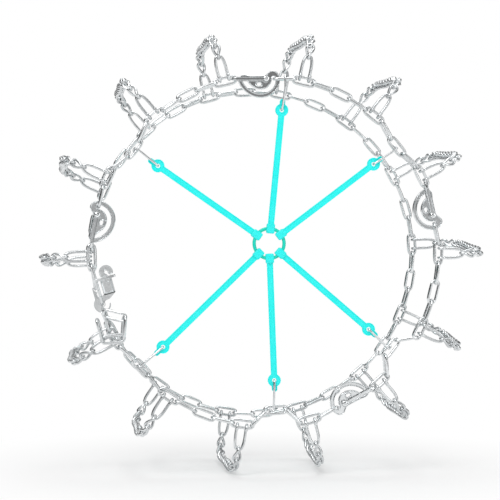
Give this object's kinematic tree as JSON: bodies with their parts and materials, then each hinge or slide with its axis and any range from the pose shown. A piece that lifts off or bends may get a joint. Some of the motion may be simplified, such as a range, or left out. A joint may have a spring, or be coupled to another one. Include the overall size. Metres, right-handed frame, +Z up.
{
  "type": "tire snow chain",
  "caption": "Snow chain net in its fitted shape: two side chains joined by cross chains, with tightening cams, a lever fastener, an inner hook and a rubber tensioner.",
  "frame": {"origin": "centre of the tyre that the net is fitted round, midway between the two side chains", "axes": "+Z up, +Y from the outer side chain to the inner one, so the front with the tensioner faces -Y; +X to the right in front view"},
  "size_m": [0.8411, 0.3108, 0.8278],
  "materials": {
    "zinc_side": "bright zinc-plated wire of the side chains and hooks",
    "zinc_cross": "bright zinc-plated wire of the cross chains, slightly duller",
    "zinc_plate": "bright zinc-plated pressed steel",
    "turquoise_rubber": "satin moulded turquoise rubber",
    "green_rubber": "satin moulded green-turquoise rubber"
  },
  "bodies": {
    "net": {"outer_chain_a_to_c": "zinc_side", "outer_chain_d_to_f": "zinc_side", "outer_chain_g_to_j": "zinc_side", "outer_chain_k": "zinc_side", "outer_chain_l_to_n": "zinc_side", "inner_chain_1": "zinc_side", "inner_chain_2": "zinc_side", "inner_chain_3": "zinc_side", "inner_chain_4": "zinc_side", "inner_chain_5": "zinc_side", "fastener_long_link": "zinc_side", "fastener_tail": "zinc_side", "cross_chain_a": "zinc_cross", "cross_chain_b": "zinc_cross", "cross_chain_c": "zinc_cross", "cross_chain_d": "zinc_cross", "cross_chain_e": "zinc_cross", "cross_chain_f": "zinc_cross", "cross_chain_g": "zinc_cross", "cross_chain_h": "zinc_cross", "cross_chain_i": "zinc_cross", "cross_chain_j": "zinc_cross", "cross_chain_k": "zinc_cross", "cross_chain_l": "zinc_cross", "cross_chain_m": "zinc_cross", "cross_chain_n": "zinc_cross", "cam_1_rod": "zinc_plate", "cam_1_rivet": "zinc_plate", "cam_2_rod": "zinc_plate", "cam_2_rivet": "zinc_plate", "cam_3_rod": "zinc_plate", "cam_3_rivet": "zinc_plate", "cam_4_rod": "zinc_plate", "cam_4_rivet": "zinc_plate", "tensioner_arm_1": "turquoise_rubber", "tensioner_arm_2": "turquoise_rubber", "tensioner_arm_3": "turquoise_rubber", "tensioner_arm_4": "turquoise_rubber", "tensioner_arm_5": "turquoise_rubber", "tensioner_arm_6": "turquoise_rubber", "tensioner_ring": "green_rubber"},
    "cam_1_plate": {"cam_1_plate": "zinc_plate"},
    "cam_1_link": {"cam_1_link": "zinc_side"},
    "cam_2_plate": {"cam_2_plate": "zinc_plate"},
    "cam_2_link": {"cam_2_link": "zinc_side"},
    "cam_3_plate": {"cam_3_plate": "zinc_plate"},
    "cam_3_link": {"cam_3_link": "zinc_side"},
    "cam_4_plate": {"cam_4_plate": "zinc_plate"},
    "cam_4_link": {"cam_4_link": "zinc_side"},
    "fastener_lever": {"fastener_lever": "zinc_plate"},
    "fastener_keeper": {"fastener_keeper": "zinc_plate"},
    "inner_hook": {"inner_hook": "zinc_plate"},
    "tensioner_hook_1": {"tensioner_hook_1": "zinc_side"},
    "tensioner_hook_2": {"tensioner_hook_2": "zinc_side"},
    "tensioner_hook_3": {"tensioner_hook_3": "zinc_side"},
    "tensioner_hook_4": {"tensioner_hook_4": "zinc_side"},
    "tensioner_hook_5": {"tensioner_hook_5": "zinc_side"},
    "tensioner_hook_6": {"tensioner_hook_6": "zinc_side"}
  },
  "joints": [
    {"name": "cam_1_turn", "type": "hinge", "parent": "net", "child": "cam_1_plate", "pos_m": [-0.001, -0.136, 0.3175], "axis": [0, -1, 0], "range_deg": [0, 60]},
    {"name": "cam_1_link_swing", "type": "hinge", "parent": "net", "child": "cam_1_link", "pos_m": [0.05497, -0.136, 0.31817], "axis": [0, -1, 0], "range_deg": [0, 21.1]},
    {"name": "cam_2_turn", "type": "hinge", "parent": "net", "child": "cam_2_plate", "pos_m": [0.31058, -0.136, 0.06593], "axis": [0, -1, 0], "range_deg": [0, 128]},
    {"name": "cam_2_link_swing", "type": "hinge", "parent": "net", "child": "cam_2_link", "pos_m": [0.32268, -0.136, 0.01128], "axis": [0, -1, 0], "range_deg": [0, 45.01]},
    {"name": "cam_3_turn", "type": "hinge", "parent": "net", "child": "cam_3_plate", "pos_m": [0.145, -0.136, -0.28246], "axis": [0, -1, 0], "range_deg": [0, 128]},
    {"name": "cam_3_link_swing", "type": "hinge", "parent": "net", "child": "cam_3_link", "pos_m": [0.09543, -0.136, -0.30846], "axis": [0, -1, 0], "range_deg": [0, 45.01]},
    {"name": "cam_4_turn", "type": "hinge", "parent": "net", "child": "cam_4_plate", "pos_m": [-0.31068, -0.136, 0.06546], "axis": [0, -1, 0], "range_deg": [0, 128]},
    {"name": "cam_4_link_swing", "type": "hinge", "parent": "net", "child": "cam_4_link", "pos_m": [-0.29962, -0.136, 0.12033], "axis": [0, -1, 0], "range_deg": [0, 45.01]},
    {"name": "lever_turn", "type": "hinge", "parent": "net", "child": "fastener_lever", "pos_m": [-0.30112, -0.136, -0.09831], "axis": [0, 1, 0], "range_deg": [0, 100]},
    {"name": "keeper_slide", "type": "slide", "parent": "net", "child": "fastener_keeper", "axis": [-0.2741, 0, 0.9617], "range_m": [0, 0.0191]},
    {"name": "inner_hook_turn", "type": "hinge", "parent": "net", "child": "inner_hook", "pos_m": [-0.30839, 0.136, -0.1036], "axis": [0, -1, 0], "range_deg": [0, 35]},
    {"name": "tensioner_hook_1_pull", "type": "slide", "parent": "net", "child": "tensioner_hook_1", "axis": [-0.0118, 0, 0.9999], "range_m": [0, 0.0038], "stiffness_N_per_m": 400, "springref_m": -0.003, "deforming": ["tensioner_arm_1"]},
    {"name": "tensioner_hook_2_pull", "type": "slide", "parent": "net", "child": "tensioner_hook_2", "axis": [0.7815, 0, 0.6238], "range_m": [0, 0.0038], "stiffness_N_per_m": 400, "springref_m": -0.003, "deforming": ["tensioner_arm_2"]},
    {"name": "tensioner_hook_3_pull", "type": "slide", "parent": "net", "child": "tensioner_hook_3", "axis": [0.789, 0, -0.6144], "range_m": [0, 0.0038], "stiffness_N_per_m": 400, "springref_m": -0.003, "deforming": ["tensioner_arm_3"]},
    {"name": "tensioner_hook_4_pull", "type": "slide", "parent": "net", "child": "tensioner_hook_4", "axis": [0.0567, 0, -0.9984], "range_m": [0, 0.0038], "stiffness_N_per_m": 400, "springref_m": -0.003, "deforming": ["tensioner_arm_4"]},
    {"name": "tensioner_hook_5_pull", "type": "slide", "parent": "net", "child": "tensioner_hook_5", "axis": [-0.7309, 0, -0.6825], "range_m": [0, 0.0038], "stiffness_N_per_m": 400, "springref_m": -0.003, "deforming": ["tensioner_arm_5"]},
    {"name": "tensioner_hook_6_pull", "type": "slide", "parent": "net", "child": "tensioner_hook_6", "axis": [-0.7947, 0, 0.6071], "range_m": [0, 0.0038], "stiffness_N_per_m": 400, "springref_m": -0.003, "deforming": ["tensioner_arm_6"]}
  ],
  "couplings": [
    {"joint": "cam_1_link_swing", "follows": "cam_1_turn", "ratio": 0.35156},
    {"joint": "cam_2_link_swing", "follows": "cam_2_turn", "ratio": 0.35156},
    {"joint": "cam_3_link_swing", "follows": "cam_3_turn", "ratio": 0.35156},
    {"joint": "cam_4_link_swing", "follows": "cam_4_turn", "ratio": 0.35156},
    {"joint": "keeper_slide", "follows": "lever_turn", "m_per_rad": 0.010886}
  ]
}
